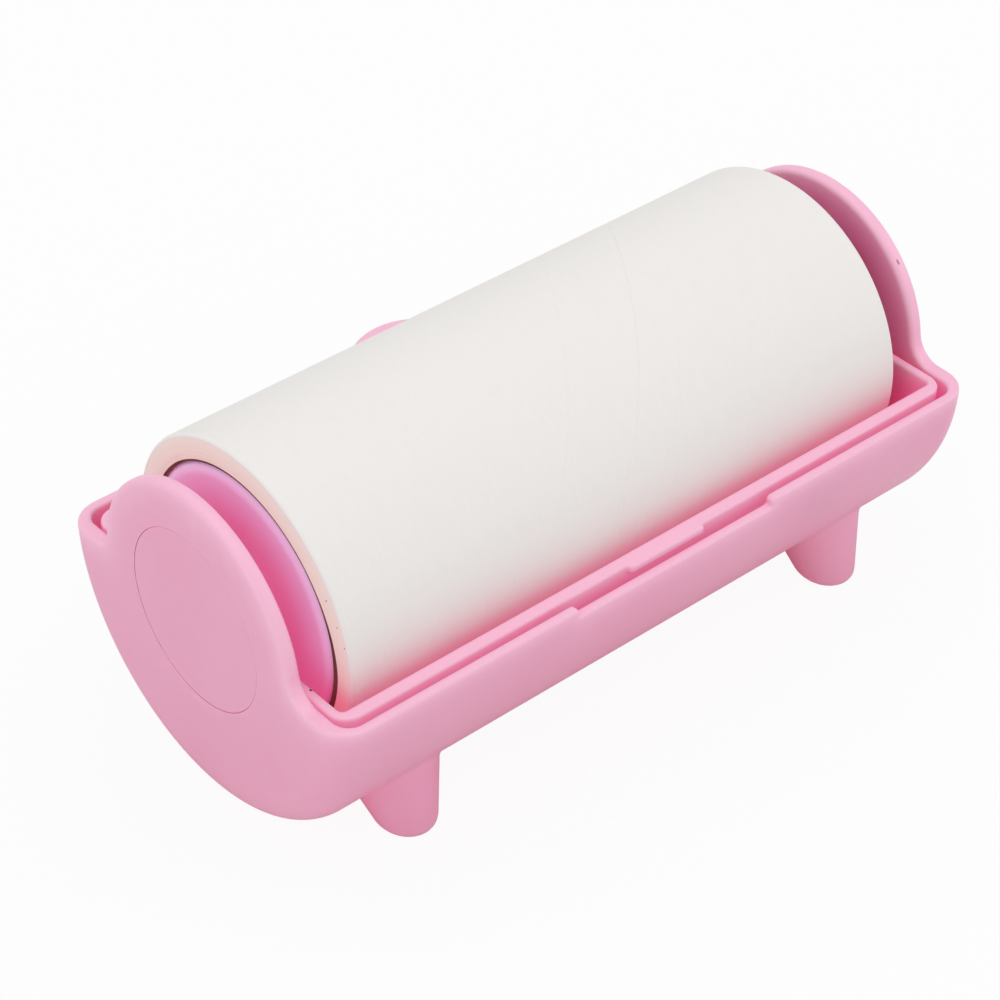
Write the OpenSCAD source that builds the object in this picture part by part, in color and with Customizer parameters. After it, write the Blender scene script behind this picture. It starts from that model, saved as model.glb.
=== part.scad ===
// Compact lint roller. A paper roll turns inside a half-round cover, and the
// cover swings inside a half-round case that stands on four legs. Both turn
// about the axis of the roll, which runs along X.

/* [Paper roll] */
// Length of the paper roll
roll_len = 98.2; // [90:0.2:110]
// Radius of the hole through the cardboard core
core_hole_r = 19.35; // [18:0.05:22]
// Thickness of the cardboard core
core_wall = 0.6; // [0.5:0.1:1.5]
// Thickness of the paper wound on the core
paper_t = 2.95; // [1:0.05:5]
// Thickness of one adhesive sheet
sheet_t = 0.15; // [0.1:0.05:0.3]
// How far the roll has slid to the left on its axles
roll_slide = 0.6; // [0:0.05:0.6]

/* [End hubs] */
// Depth of a hub inside the core
hub_depth = 9; // [6:0.5:14]
// How far a hub's face stands out of the core
hub_proud = 0.3; // [0:0.1:1]
// Rounding of the edge of a hub's face
hub_edge = 2; // [1:0.25:2.5]
// Thickness of a hub's face
hub_face_t = 1.8; // [1.2:0.1:2.4]
// Thickness of a hub's skirt
hub_wall = 1.6; // [1:0.1:2.4]
// Outer radius of the boss at the centre of a hub
hub_boss_r = 5.5; // [4.5:0.1:6.5]
// Number of stiffening ribs in a hub
hub_ribs = 6; // [3:1:8]
// Thickness of a stiffening rib
rib_t = 1.2; // [0.8:0.1:2]

/* [Cover] */
// Thickness of the cover's curved wall
cover_wall = 2.05; // [1.4:0.05:2.6]
// Thickness of the cover's end walls
cover_end_wall = 1.4; // [1.2:0.05:2.4]
// Rounding between the cover's curved wall and its end walls, outside
cover_edge = 3; // [2.5:0.25:4]
// Rounding between the curved wall and the end walls, inside
cover_in_edge = 0.8; // [0.4:0.1:2]
// Radius of the round ear that carries the cover's pivot
cover_ear_r = 15; // [14.6:0.1:16]
// Radius of the blend from the ear down to the cover's rim
cover_ear_blend = 1.5; // [0.5:0.25:2.5]
// Width of the grip ridge along the cover's front rim
ridge_w = 13.6; // [8:0.2:20]
// Height of the grip ridge
ridge_h = 1.3; // [0.8:0.1:2]
// How far the grip ridge stands out of the cover
ridge_out = 0.75; // [0.4:0.05:0.8]

/* [Thumb tab] */
// Radius of the thumb tab, seen from above
tab_r = 9.9; // [8:0.1:12]
// How far the thumb tab reaches past the case
tab_out = 4.5; // [3:0.25:6]
// Thickness of the thumb tab
tab_t = 2; // [1:0.1:2.5]

/* [Case] */
// Thickness of the case's curved wall
case_wall = 1.55; // [1.4:0.05:3]
// Thickness of the case's end walls
case_end_wall = 2.3; // [1.8:0.05:4]
// Rounding between the case's curved wall and its end walls, outside
case_edge = 4.9; // [3.5:0.1:6]
// Radius of the round ears that rise from the case's end walls
case_ear_r = 19.9; // [18:0.1:22]
// Radius of the blend from an ear down to the case's rim
case_ear_blend = 3.5; // [2:0.25:4]
// Height of the axis over the centre of the case's curved wall
axis_rise = 0.75; // [0:0.05:1.5]
// How far the rims lie below the axis
rim_drop = 0.9; // [0.3:0.05:1.2]
// Width of the finger notch in the case's front rim
notch_w = 35; // [26:0.5:50]

/* [Legs] */
// Distance from the ends of the case to the middle of a leg
leg_inset = 17.7; // [14:0.1:30]
// Distance of a foot's middle from the lengthwise middle plane
foot_y = 21.3; // [18:0.1:22]
// Radius of a foot
foot_r = 3.95; // [3:0.05:5]
// How far the feet reach below the case
foot_drop = 0.75; // [0.6:0.05:4]
// Outward lean of a leg
leg_lean = 22.4; // [18:0.1:26]
// Angle between a leg's side and its centre line
leg_taper = 15.8; // [8:0.1:17]

/* [Pivots] */
// Radius of the pivot disc in each end of the case
disc_r = 13.25; // [12:0.05:14]
// Radius of the spigot that holds a disc in the cover
spigot_r = 7; // [6:0.1:8]
// Radius of the axle that the hub turns on
axle_r = 3; // [2:0.1:3.5]
// Depth of the axle inside the hub's bore
axle_depth = 8; // [5:0.5:12]
// Width of the key that turns a disc with the cover
key_w = 3; // [2:0.1:4]
// Height of the key over the spigot
key_h = 1.4; // [1:0.1:2]
// Width of the snap bead behind the cover's end wall
bead_w = 0.6; // [0.4:0.05:0.8]
// Height of the snap bead over the spigot
bead_h = 0.3; // [0.2:0.05:0.4]

/* [Clearances] */
// Room between the roll and the cover
roll_gap = 2.35; // [1:0.05:3]
// Room between a roll's end and the cover's end wall
roll_end_gap = 4.25; // [3:0.05:6]
// Room between the cover and the case
cover_gap = 1.15; // [1.1:0.05:2]
// Room between the cover's end wall and the case's end wall
cover_end_gap = 0.45; // [0.3:0.05:1]
// Radial clearance of the parts that turn in each other
run_fit = 0.05; // [0.02:0.01:0.1]
// Clearance between pieces that are pushed together
snug_fit = 0.05; // [0.02:0.01:0.1]
// Axial play of the roll between its pivots
end_play = 0.7; // [0.65:0.05:1.2]
// Gap under the thumb tab where it meets the case
tab_gap = 0.3; // [0.2:0.05:0.5]
// Room under the thumb tab where it lies in the finger notch
notch_gap = 0.9; // [0.3:0.05:2]

/* [Hidden] */
$fn = 96;
over = 1;                 // how far a cutting shape runs past what it cuts

// The roll and its hubs
core_r = core_hole_r + core_wall;
roll_r = core_r + paper_t;
hub_r = core_hole_r - snug_fit;
hub_x = roll_len / 2 + hub_proud;

// The cover, around the roll
cover_in_r = roll_r + roll_gap;
cover_r = cover_in_r + cover_wall;
cover_in_x = roll_len / 2 + roll_end_gap;
cover_x = cover_in_x + cover_end_wall;

// The case, around the cover
case_in_r = cover_r + cover_gap;
case_r = case_in_r + case_wall;
case_in_x = cover_x + cover_end_gap;
case_x = case_in_x + case_end_wall;
case_in_edge = cover_edge - cover_end_gap;

// The tab lies on the case's rear rim, and in its front notch once it has swung over
tab_z = tab_gap - rim_drop;
tab_reach = case_r + tab_out;
notch_floor = -tab_z - tab_t - notch_gap;

// The pivots, from the case's end wall inwards
disc_x = cover_x + snug_fit;
bead_x = cover_in_x - snug_fit;
stub_x = bead_x - bead_w;
boss_x = stub_x - end_play;

// The origin is under the middle of the part, on the plane that the feet stand on
axis_z = case_r + axis_rise + foot_drop;
axis_y = (case_r - tab_reach) / 2;
leg_x = case_x - leg_inset;

// Places its children, drawn about the roll's axis, in the part's own frame
module on_axis() { translate([0, axis_y, axis_z]) children(); }

// Places the pieces that turn together on the axles
module on_axles() { on_axis() translate([-roll_slide, 0, 0]) children(); }

// Turns children drawn about Z so that they lie along X
module along_x() { rotate([0, 90, 0]) children(); }

// Draws children for the left end as they are, or mirrored for the right end
module at_end(right) { mirror([right ? 1 : 0, 0, 0]) children(); }

// A drum along X, with its two end edges rounded
module drum(r, half_len, edge) {
    along_x() rotate_extrude() {
        translate([0, -half_len]) square([r - edge, 2 * half_len]);
        translate([0, edge - half_len]) square([r, 2 * (half_len - edge)]);
        for (s = [-1, 1]) translate([r - edge, s * (half_len - edge)]) circle(edge);
    }
}

// A cylinder along X, from x0 to x1
module rod(r, x0, x1) { translate([x0, 0, 0]) along_x() cylinder(r = r, h = x1 - x0); }

// A tube along X, with its middle at X = 0
module tube(r, hole_r, len) {
    difference() {
        rod(r, -len / 2, len / 2);
        rod(hole_r, -len / 2 - over, len / 2 + over);
    }
}

// Everything above the rims, out to a half width of w
module above_rim(half_len, w) {
    translate([-half_len, -w, -rim_drop]) cube([2 * half_len, 2 * w, 2 * w]);
}

// Outline of a round ear and its blend down to the rim, in Y and Z
module ear_outline(r, blend) {
    mid_z = blend - rim_drop;
    mid_y = sqrt(pow(r + blend, 2) - pow(mid_z, 2));
    difference() {
        union() {
            circle(r);
            for (s = [-1, 1])
                polygon([[0, -rim_drop], [s * mid_y, -rim_drop], [s * mid_y, mid_z], [0, 0]]);
        }
        for (s = [-1, 1]) translate([s * mid_y, mid_z]) circle(blend);
        translate([-2 * r, -2 * r - rim_drop]) square([4 * r, 2 * r]);
    }
}

// An ear at each end, between x0 and x1 from the middle
module ears(r, blend, x0, x1) {
    for (s = [-1, 1]) translate([s > 0 ? x0 : -x1, 0, 0])
        rotate([90, 0, 90]) linear_extrude(x1 - x0) ear_outline(r, blend);
}

// A half-round trough below the rim plane, with an ear on each end wall. The
// centre of its curve lies a little below the axis.
module trough(drop, r, half_len, edge, in_r, in_half_len, in_edge, ear_r, ear_blend) {
    difference() {
        translate([0, 0, -drop]) drum(r, half_len, edge);
        above_rim(half_len + over, r + over);
        translate([0, 0, -drop]) drum(in_r, in_half_len, in_edge);
    }
    ears(ear_r, ear_blend, in_half_len, half_len);
}

// One leg of the case: a cone that leans outwards and is cut level at the floor
module leg() {
    below = foot_r;
    rise = case_r / 2;
    difference() {
        translate([0, -foot_y, -axis_z]) rotate([-leg_lean, 0, 0])
            translate([0, 0, -below])
                cylinder(r1 = foot_r - below * tan(leg_taper), r2 = foot_r + rise * tan(leg_taper),
                         h = below + rise);
        translate([-case_r, -2 * case_r, -axis_z - 2 * foot_r]) cube([2 * case_r, 4 * case_r, 2 * foot_r]);
    }
}

module outer_case() {
    color("pink") on_axis() difference() {
        union() {
            trough(axis_rise, case_r, case_x, case_edge, case_in_r, case_in_x, case_in_edge,
                   case_ear_r, case_ear_blend);
            difference() {
                for (x = [-leg_x, leg_x], back = [0, 1])
                    mirror([0, back, 0]) translate([x, 0, 0]) leg();
                translate([0, 0, -axis_rise]) drum(case_in_r, case_in_x, case_in_edge);
            }
        }
        translate([-notch_w / 2, -case_r - over, notch_floor])
            cube([notch_w, case_wall + 2 * over, case_r]);
        rod(disc_r + run_fit, -case_x - over, case_x + over);
    }
}

// The grip ridge along the cover's front rim
module ridge() {
    intersection() {
        rod(cover_r + ridge_out, -ridge_w / 2, ridge_w / 2);
        translate([-ridge_w / 2, -case_r, -rim_drop - ridge_h]) cube([ridge_w, case_r - cover_in_r / 2, ridge_h]);
    }
}

// The thumb tab on the cover's rear rim
module tab() {
    translate([0, tab_reach - tab_r, tab_z]) cylinder(r = tab_r, h = tab_t);
    translate([-tab_r, 0, tab_z]) cube([2 * tab_r, tab_reach - tab_r, tab_t]);
    translate([-tab_r, 0, -rim_drop - ridge_h]) cube([2 * tab_r, cover_r, tab_z + tab_t + rim_drop + ridge_h]);
}

module inner_cover() {
    color("hotpink") on_axis() difference() {
        union() {
            trough(0, cover_r, cover_x, cover_edge, cover_in_r, cover_in_x, cover_in_edge,
                   cover_ear_r, cover_ear_blend);
            difference() {
                union() { ridge(); tab(); }
                rod(cover_in_r, -cover_in_x, cover_in_x);
            }
        }
        rod(spigot_r + snug_fit, -cover_x - over, cover_x + over);
        for (s = [-1, 1]) translate([s * cover_x - cover_x / 2, 0, 0])
            key(cover_x, snug_fit);
    }
}

// The key beside a spigot, or its slot with a clearance added
module key(len, fit) {
    translate([0, -key_w / 2 - fit, 0]) cube([len, key_w + 2 * fit, spigot_r + key_h + fit]);
}

module pivot_disc(right) {
    color("pink") on_axis() at_end(right) {
        rod(disc_r, -case_x, -disc_x);
        rod(spigot_r, -case_x, -stub_x);
        translate([-case_x, 0, 0]) key(case_x - bead_x, 0);
        rod(spigot_r + bead_h, -bead_x, -stub_x);
        rod(axle_r, -case_x, -boss_x + axle_depth);
    }
}

// Half the outline of a hub, drawn from its face inwards along Y
module hub_outline() {
    square([hub_r - hub_edge, hub_face_t]);
    difference() {
        union() {
            translate([hub_r - hub_edge, hub_edge]) circle(hub_edge);
            translate([hub_r - hub_edge, hub_edge]) square([hub_edge, hub_depth - hub_edge]);
        }
        translate([0, hub_face_t]) square([hub_r - hub_wall, hub_depth]);
    }
}

module hub(right) {
    color("palevioletred") on_axles() at_end(right) difference() {
        union() {
            translate([-hub_x, 0, 0]) along_x() rotate_extrude() hub_outline();
            rod(hub_boss_r, -boss_x, -hub_x + hub_depth);
            for (i = [0 : hub_ribs - 1]) rotate([i * 360 / hub_ribs, 0, 0])
                translate([-hub_x + hub_face_t / 2, -rib_t / 2, 0])
                    cube([hub_depth - hub_face_t, rib_t, hub_r - hub_wall / 2]);
        }
        rod(axle_r + run_fit, -boss_x - over, -hub_x + hub_depth + over);
    }
}

module core_tube() { color("peru") on_axles() tube(core_r, core_hole_r, roll_len); }

module adhesive_roll() { color("ivory") on_axles() tube(roll_r - sheet_t, core_r, roll_len); }

module top_sheet() { color("white") on_axles() tube(roll_r, roll_r - sheet_t, roll_len); }

outer_case();
inner_cover();
pivot_disc(false);  // left_pivot_disc
pivot_disc(true);  // right_pivot_disc
hub(false);  // left_hub
hub(true);  // right_hub
core_tube();
adhesive_roll();
top_sheet();
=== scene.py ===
import math

import bmesh
import bpy
import numpy as np
from bpy.props import FloatProperty, FloatVectorProperty, IntProperty, PointerProperty
from bpy.types import NodeSocket, Operator, Panel, PropertyGroup
from mathutils import Matrix, Vector


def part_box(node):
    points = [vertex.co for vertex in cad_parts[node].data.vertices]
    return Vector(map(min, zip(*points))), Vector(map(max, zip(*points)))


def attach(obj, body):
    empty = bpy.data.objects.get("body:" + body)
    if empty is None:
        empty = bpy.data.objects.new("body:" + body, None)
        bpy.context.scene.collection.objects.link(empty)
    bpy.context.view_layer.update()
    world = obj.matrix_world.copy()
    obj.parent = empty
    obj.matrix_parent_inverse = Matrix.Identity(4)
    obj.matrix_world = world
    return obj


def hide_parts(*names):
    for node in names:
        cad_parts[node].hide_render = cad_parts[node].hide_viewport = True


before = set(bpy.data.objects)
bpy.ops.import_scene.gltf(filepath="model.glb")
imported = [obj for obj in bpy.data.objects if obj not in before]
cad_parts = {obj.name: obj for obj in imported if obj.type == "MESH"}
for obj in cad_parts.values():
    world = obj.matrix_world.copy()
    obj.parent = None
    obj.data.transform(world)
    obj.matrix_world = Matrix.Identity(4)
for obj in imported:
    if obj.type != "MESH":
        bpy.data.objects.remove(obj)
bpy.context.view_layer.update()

bl_info = {
    "name": "Lint Roller",
    "version": (1, 0, 0),
    "blender": (4, 5, 0),
    "location": "View3D > Sidebar > Lint Roller",
    "description": "Dresses a compact lint roller: case, cover, pivots, hubs, paper roll and stage",
    "category": "Object",
}

MM = 0.001
TURN = 2 * math.pi
# A distance that stands for "nowhere near" in a form.
BROAD = 0.05
# Height of the fine relief on each material, in metres.
PLASTIC_GRAIN, SHEET_GRAIN, CUT_GRAIN, BOARD_GRAIN = 0.000004, 0.000006, 0.00001, 0.00003
# Depth of the top sheet's deepest tear line.
DEEPEST_TEAR = 0.05 * MM
# How far a corner may move on to its surface, when it is made and after thinning.
FIRST_MOVE, LAST_MOVE = 0.1 * MM, 0.05 * MM
# How strongly a grid cell's corner is held to the middle of its crossings.
HOLD = 0.03
# Cosine between a corner's normal and the one beside it, this part of the way to the face's middle, under
# which the corner lies on a crease.
CREASE, BESIDE = 0.9, 0.25
# The painted highlight under a rim: its full part, and how fast it fades below that.
RIM_HIGHLIGHT_BAND, RIM_HIGHLIGHT_FADE = 0.3 * MM, 1.6 * MM
# Steps round the roll and the core, and round a pivot disc.
ROLL_STEPS, DISC_STEPS = 144, 96
# Share of the faces kept where moulded pieces are thinned.
SHELL_FACES, HUB_FACES = 0.45, 0.4
# Curvature per metre where an edge starts to show wear and a painted highlight, and the range up to full
# wear.
WORN_LIT_FROM, WORN_LIT_RANGE = 200, 900
# Share of the bounced light that a thin wall of plastic lets through.
PASSED_ON = 0.98
# Half the floor's width in metres, and how much of what the camera sees of it is plain white.
FLOOR_REACH, FLOOR_WHITE = 4.0, 0.93

# ---------- places taken from the frame

CASE_LOW, CASE_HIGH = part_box("outer_case")
COVER_LOW, COVER_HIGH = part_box("inner_cover")
DISC_LOW, DISC_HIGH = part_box("left_pivot_disc")
HUB_LOW, HUB_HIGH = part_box("left_hub")
FAR_HUB_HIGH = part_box("right_hub")[1]
CORE_LOW, CORE_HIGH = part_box("core_tube")
ROLL_LOW, ROLL_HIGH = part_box("adhesive_roll")
SHEET_LOW, SHEET_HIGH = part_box("top_sheet")

# The axis that the cover swings about and the roll turns about. It runs along X.
AXIS = Vector((0, (DISC_LOW.y + DISC_HIGH.y) / 2, (DISC_LOW.z + DISC_HIGH.z) / 2))


def half_height(low, high):
    return (high.z - low.z) / 2


def length(name, about, default):
    """A size of the object that a user may change, in metres."""
    return FloatProperty(name=name, description=about, default=default, unit="LENGTH", precision=5)


def mm(name, about, default):
    """The same, with the default in millimetres."""
    return length(name, about, default * MM)


def angle(name, about, degrees):
    return FloatProperty(name=name, description=about, default=math.radians(degrees), subtype="ANGLE")


def share(name, about, default):
    return FloatProperty(name=name, description=about, default=default, min=0, max=1, subtype="FACTOR")


def colour(name, about, default):
    return FloatVectorProperty(name=name, description=about, default=default, min=0, max=1, size=3,
                               subtype="COLOR")


def power(name, about, watts):
    return FloatProperty(name=name, description=about, default=watts, min=0, unit="POWER")


class LintRollerCase(PropertyGroup):
    """The half-round case on four legs."""
    radius: length("Radius", "Outer radius of the curved wall", (CASE_HIGH.y - CASE_LOW.y) / 2)
    half: length("Half length", "From the middle to an end", CASE_HIGH.x)
    wall: mm("Wall", "Thickness of the curved wall", 1.55)
    end_wall: mm("End wall", "Thickness of an end wall", 2.3)
    edge: mm("End rounding", "Outer rounding where the wall meets the ends", 4.9)
    in_edge: mm("Inner end rounding", "Its rounding inside", 2.55)
    axis_rise: mm("Axis rise", "Axis over the centre of the curved wall", 0.75)
    rim_drop: mm("Rim drop", "How far the rim lies below the axis", 0.9)
    rim_round: mm("Rim rounding", "Rounding of the rim's two edges", 0.45)
    ear: length("Ear", "Radius of the round ears", CASE_HIGH.z - AXIS.z)
    ear_blend: mm("Ear blend", "Blend from an ear down to the rim", 3.5)
    ear_round: mm("Ear rounding", "Rounding of an ear's edges", 0.75)
    notch_width: mm("Notch width", "Width of the finger notch", 35)
    notch_depth: mm("Notch depth", "Depth of the finger notch below the rim", 1.4)
    notch_corner: mm("Notch corner", "Rounding of the corners beside the notch", 0.7)
    leg_x: mm("Leg place", "From the middle to a leg, lengthwise", 39.8)
    foot_y: mm("Foot place", "From the middle to a foot, across", 21.3)
    foot: mm("Foot", "Radius of a foot at the floor, before rounding", 3.95)
    foot_round: mm("Foot rounding", "Rounding of a foot's lower edge", 1.4)
    leg_fillet: mm("Leg fillet", "Fillet where a leg joins the case", 0.35)
    leg_lean: angle("Leg lean", "Outward lean of a leg", 22.4)
    leg_taper: angle("Leg taper", "Between a leg's side and its centre line", 15.8)
    face_break: angle("Face break", "Bend where the flat end turns into its rounding", 6)
    disc_room: mm("Pivot room", "Gap round a pivot disc in its hole", 0.05)


class LintRollerCover(PropertyGroup):
    """The half-round cover that swings inside the case."""
    radius: length("Radius", "Outer radius of the curved wall", AXIS.z - COVER_LOW.z)
    half: length("Half length", "From the middle to an end", COVER_HIGH.x)
    wall: mm("Wall", "Thickness of the curved wall", 2.05)
    end_wall: mm("End wall", "Thickness of an end wall", 1.4)
    edge: mm("End rounding", "Outer rounding where the wall meets the ends", 3.0)
    in_edge: mm("Inner end rounding", "Its rounding inside", 0.8)
    rim_round: mm("Rim rounding", "Rounding of the rim's two edges", 0.42)
    ear: length("Ear", "Radius of the round ears", COVER_HIGH.z - AXIS.z)
    ear_blend: mm("Ear blend", "Blend from an ear down to the rim", 1.5)
    ear_round: mm("Ear rounding", "Rounding of an ear's edges", 0.42)
    ridge_width: mm("Ridge width", "Width of the grip ridge on the front rim", 13.6)
    ridge_height: mm("Ridge height", "Height of the grip ridge", 1.3)
    ridge_out: mm("Ridge depth", "How far the ridge stands out of the cover", 0.75)
    tab: mm("Tab radius", "Radius of the thumb tab, seen from above", 9.9)
    tab_reach: length("Tab reach", "From the axis to the tab's tip", COVER_HIGH.y - AXIS.y)
    tab_thick: mm("Tab thickness", "Thickness of the thumb tab", 2)
    tab_gap: mm("Tab gap", "Gap between the tab and the rim of the case", 0.3)
    spigot_hole: mm("Spigot hole", "Radius of the spigot's hole", 7.05)
    key_slot: mm("Key slot", "Width of the key's slot", 3.1)
    key_reach: mm("Key reach", "Height of the key slot over the axis", 8.45)


class LintRollerPivot(PropertyGroup):
    """The keyed disc and axle at each end of the case."""
    disc: length("Disc radius", "Radius of the flush disc", half_height(DISC_LOW, DISC_HIGH))
    disc_back: mm("Disc back", "From the middle to the disc's inner face", 54.8)
    spigot: mm("Spigot radius", "Radius of the spigot in the cover", 7)
    bead_out: mm("Bead height", "Height of the snap bead over the spigot", 0.3)
    bead_x: mm("Bead place", "From the middle to the bead", 53.3)
    bead_width: mm("Bead width", "Width of the snap bead", 0.6)
    axle: mm("Axle radius", "Radius of the axle that the hub turns on", 3)
    key_width: mm("Key width", "Width of the key", 3)
    key_top: mm("Key top", "Height of the key over the axis", 8.4)
    seam: mm("Seam rounding", "Rounding of the disc's outer edge", 0.16)


class LintRollerHub(PropertyGroup):
    """The hub pushed into each end of the core."""
    radius: length("Radius", "Outer radius of the skirt", half_height(HUB_LOW, HUB_HIGH))
    depth: mm("Depth", "Depth of the hub from its face", 9)
    face: mm("Face", "Thickness of the face", 1.8)
    edge: mm("Face edge", "Rounding of the face's edge", 2)
    wall: mm("Skirt wall", "Thickness of the skirt", 1.6)
    boss: mm("Boss radius", "Radius of the boss at the centre", 5.5)
    rib: mm("Rib", "Thickness of a stiffening rib", 1.2)
    ribs: IntProperty(name="Ribs", description="Number of stiffening ribs", default=6, min=3, max=12)
    bore: mm("Bore", "Radius of the bore that turns on the axle", 3.05)
    soften: mm("Softening", "Rounding of the inner edges and corners", 0.35)


class LintRollerRoll(PropertyGroup):
    """The core, the wound paper and its top sheet."""
    radius: length("Radius", "Outer radius of the roll", half_height(SHEET_LOW, SHEET_HIGH))
    sheet: length("Sheet", "Thickness of one sheet",
                  half_height(SHEET_LOW, SHEET_HIGH) - half_height(ROLL_LOW, ROLL_HIGH))
    core: length("Core radius", "Outer radius of the cardboard core", half_height(CORE_LOW, CORE_HIGH))
    core_wall: length("Core wall", "Thickness of the cardboard core",
                      half_height(CORE_LOW, CORE_HIGH) - half_height(HUB_LOW, HUB_HIGH) - 0.05 * MM)
    shoulder: mm("Shoulder", "How far the roll's ends are softened", 0.75)
    drop: mm("Shoulder drop", "How far the paper's edge turns in at the ends", 0.5)
    swelling: mm("Swelling", "How far the core's cut ends have swollen inwards", 0.35)
    # Painted shade: the dark brown ply ring is widened at one side, partly in place of shade in the crevice.
    ply_shade_width: mm("Brown ply", "Extra width of the brown ply where it is widest", 0.85)
    twist: mm("Tear pitch", "How far a tear line runs along in one turn", 93.6)
    tear_width: mm("Tear width", "Width of a tear line", 0.3)


class LintRollerFinish(PropertyGroup):
    """Colours and gloss."""
    pink: colour("Pink", "Colour of the case and the cover", (0.87, 0.365, 0.55))
    hub_pink: colour("Hub pink", "Colour of the hubs", (0.93, 0.56, 0.9))
    # Painted bounce light: the shells' inner faces are painted this stronger pink in place of light passed
    # between the walls.
    inside: colour("Inside", "Colour of the shells' inner faces", (1.0, 0.27, 0.56))
    glow: colour("Glow", "Colour of light that came through the plastic", (1.0, 0.62, 0.75))
    paper: colour("Paper", "Colour of the sheets", (0.90, 0.875, 0.85))
    paper_edge: colour("Paper edge", "Colour of the roll's cut ends", (1.0, 0.93, 0.82))
    board: colour("Board", "Colour of the cardboard core", (0.13, 0.055, 0.04))
    # Painted highlight: the plastic is painted this much lighter along its thin rims and ear edges.
    rim_highlight: FloatProperty(name="Rim light", default=1.2, min=1,
                             description="How much lighter the plastic is at its thin rims")
    gloss: share("Roughness", "Roughness of the moulded plastic", 0.34)
    floor: colour("Floor", "Colour of the floor", (0.87, 0.87, 0.87))


class LintRollerView(PropertyGroup):
    """The camera and the lamps."""
    azimuth: angle("Azimuth", "Side that the camera looks from", -40.607)
    elevation: angle("Elevation", "Height of the camera over the horizon", 38.546)
    distance: mm("Distance", "From the camera to the middle of the case", 419.4)
    aside: mm("Aside", "Sideways shift of the aim", -4.291)
    above: mm("Above", "Upward shift of the aim", -7.198)
    lens: FloatProperty(name="Lens", description="Focal length", default=108.947, unit="CAMERA")
    overhead: power("Overhead", "Power of the softbox overhead", 2.25)
    left: power("Left", "Power of the softbox at the left", 1.8)
    right: power("Right", "Power of the softbox at the right", 2.0)
    behind: power("Behind", "Power of the softbox behind", 0.7)
    sky: FloatProperty(name="Surround", description="Brightness of the studio all round", default=0.64)


class LintRollerSettings(PropertyGroup):
    """Everything that shapes and colours the lint roller."""
    case: PointerProperty(type=LintRollerCase)
    cover: PointerProperty(type=LintRollerCover)
    pivot: PointerProperty(type=LintRollerPivot)
    hub: PointerProperty(type=LintRollerHub)
    roll: PointerProperty(type=LintRollerRoll)
    finish: PointerProperty(type=LintRollerFinish)
    view: PointerProperty(type=LintRollerView)


# ---------- solid forms as distance fields

def round_cut(a, b, radius):
    """The part that two forms share, with the edge between them rounded."""
    corner = np.hypot(np.maximum(a + radius, 0), np.maximum(b + radius, 0))
    return np.minimum(np.maximum(a, b), -radius) + corner


def round_join(a, b, radius):
    """Two forms together, with a fillet in the corner between them."""
    corner = np.hypot(np.maximum(radius - a, 0), np.maximum(radius - b, 0))
    return np.maximum(np.minimum(a, b), radius) - corner


def case_form(s, hole):
    """The outer case, about the pivot axis: below 0 inside the plastic."""
    lean_sin, lean_cos = math.sin(s.leg_lean), math.cos(s.leg_lean)
    flare = math.tan(s.leg_taper)
    draft_sin, draft_cos = math.sin(s.face_break), math.cos(s.face_break)

    def field(x, y, z):
        out_x, out_y, up = np.abs(x), np.abs(y), z + AXIS.z
        from_drum, from_axis = np.hypot(y, z + s.axis_rise), np.hypot(y, z)
        outside = round_cut(from_drum - s.radius, out_x - s.half, s.edge)
        draft = (from_drum - s.radius + s.edge) * draft_sin + (out_x - s.half) * draft_cos
        outside = np.maximum(outside, draft)
        inside = round_cut(from_drum - s.radius + s.wall, out_x - s.half + s.end_wall, s.in_edge)
        along = up * lean_cos - (out_y - s.foot_y) * lean_sin
        across = up * lean_sin + (out_y - s.foot_y) * lean_cos
        leg = (np.hypot(out_x - s.leg_x, across) - s.foot - along * flare) * math.cos(s.leg_taper)
        leg = np.maximum(round_cut(leg, -up, s.foot_round), z + s.radius / 2)
        walls = np.maximum(round_join(outside, leg, s.leg_fillet), -inside)
        climb = np.clip((z + s.rim_drop) / s.ear_blend, 0, 1)
        shell = round_cut(walls, case_outline(s, x, y, z), s.rim_round + (s.ear_round - s.rim_round) * climb)
        return np.maximum(shell, hole - from_axis)

    return field


def case_outline(s, x, y, z):
    """The cut through the case along its ears, its rim and the finger notch: below 0 under it."""
    rim = z + s.rim_drop
    beside_notch = round_cut(rim, s.notch_width / 2 - np.abs(x), s.notch_corner)
    notched = round_join(rim + s.notch_depth, beside_notch, s.notch_corner / 2)
    return round_join(np.hypot(y, z) - s.ear, np.where(y < 0, notched, rim), s.ear_blend)


def cover_outline(s, rim_drop, y, z):
    """The same cut through the cover, which has no notch."""
    return round_join(np.hypot(y, z) - s.ear, z + rim_drop, s.ear_blend)


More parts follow.
